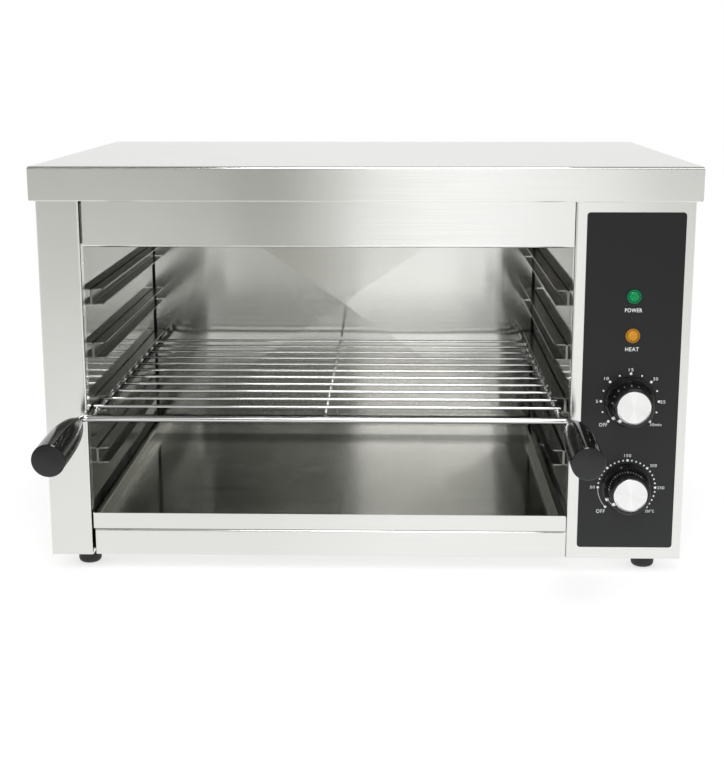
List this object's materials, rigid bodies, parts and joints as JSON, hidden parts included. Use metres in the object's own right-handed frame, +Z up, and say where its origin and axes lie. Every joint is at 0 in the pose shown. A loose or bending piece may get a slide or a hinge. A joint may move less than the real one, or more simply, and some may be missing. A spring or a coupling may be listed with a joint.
{
  "type": "cheese melter",
  "caption": "Counter-top grill with an open steel chamber, racks at the sides, a sliding wire grid with handles, a crumb tray and a control column.",
  "frame": {"origin": "middle of the whole product's width and depth, on the surface that the feet stand on", "axes": "+X to the right as one faces the chamber, +Y to the back, +Z up"},
  "size_m": [0.6, 0.55, 0.3786],
  "materials": {
    "steel": "fine horizontal brushing, satin",
    "liner_steel": "bright, nearly mirror-like sheet",
    "overlay_black": "satin charcoal with printed dials",
    "wool": "mineral wool blanket",
    "element_sheath": "dark heat-treated tube",
    "brass": "plain turned brass",
    "copper": "drawn copper tube",
    "thermostat_steel": "plated pressed steel",
    "timer_plastic": "plain moulded",
    "dark_plastic": "plain moulded",
    "green_lens": "clear tinted, faceted",
    "amber_lens": "clear tinted, faceted",
    "terminal_plastic": "plain moulded",
    "rubber": "matt moulded",
    "screw_steel": "zinc plated",
    "chrome_wire": "bright chromed wire",
    "gloss_black": "polished black plastic",
    "spun_aluminium": "spun face"
  },
  "bodies": {
    "casing": {"top_cover": "steel", "left_side_panel": "steel", "right_side_panel": "steel", "rear_panel": "steel", "rear_panel_screws": "screw_steel", "base_pan": "liner_steel", "base_front_strip": "steel", "front_fascia": "steel", "control_overlay": "overlay_black", "chamber_left_wall": "liner_steel", "chamber_right_wall": "liner_steel", "chamber_back_wall": "liner_steel", "reflector": "liner_steel", "wool_top": "wool", "wool_back": "wool", "rack_left_1": "liner_steel", "rack_left_2": "liner_steel", "rack_left_3": "liner_steel", "rack_left_4": "liner_steel", "rack_right_1": "liner_steel", "rack_right_2": "liner_steel", "rack_right_3": "liner_steel", "rack_right_4": "liner_steel", "heating_element_front": "element_sheath", "heating_element_rear": "element_sheath", "element_bushes": "brass", "element_combs": "liner_steel", "thermostat_bulb": "copper", "bulb_clips": "liner_steel", "thermostat_body": "thermostat_steel", "timer_body": "timer_plastic", "thermal_limiter": "dark_plastic", "power_lamp_lens": "green_lens", "power_lamp_body": "dark_plastic", "heat_lamp_lens": "amber_lens", "heat_lamp_body": "dark_plastic", "terminal_block": "terminal_plastic", "cable_gland": "dark_plastic", "gland_nut": "dark_plastic", "tray_runner_left": "liner_steel", "tray_runner_right": "liner_steel", "foot_front_left": "rubber", "foot_front_right": "rubber", "foot_rear_left": "rubber", "foot_rear_right": "rubber", "foot_screws": "screw_steel"},
    "grid": {"grid_front_rod": "chrome_wire", "grid_side_rod_left": "chrome_wire", "grid_side_rod_right": "chrome_wire", "grid_cross_wires": "chrome_wire", "grid_middle_wire": "chrome_wire", "handle_left": "gloss_black", "handle_right": "gloss_black"},
    "tray": {"crumb_tray": "liner_steel"},
    "timer_dial": {"timer_knob": "gloss_black", "timer_knob_cap": "spun_aluminium", "timer_shaft": "screw_steel"},
    "thermostat_dial": {"thermostat_knob": "gloss_black", "thermostat_knob_cap": "spun_aluminium", "thermostat_shaft": "screw_steel"}
  },
  "joints": [
    {"name": "grid_slide", "type": "slide", "parent": "casing", "child": "grid", "axis": [0, -1, 0], "range_m": [-0.0045, 0.3]},
    {"name": "tray_slide", "type": "slide", "parent": "casing", "child": "tray", "axis": [0, -1, 0], "range_m": [0, 0.34]},
    {"name": "timer_turn", "type": "hinge", "parent": "casing", "child": "timer_dial", "pos_m": [0.2425, -0.15103, 0.1656], "axis": [0, 1, 0], "range_deg": [0, 269]},
    {"name": "thermostat_turn", "type": "hinge", "parent": "casing", "child": "thermostat_dial", "pos_m": [0.2425, -0.15103, 0.0839], "axis": [0, 1, 0], "range_deg": [-15, 252.5]}
  ]
}
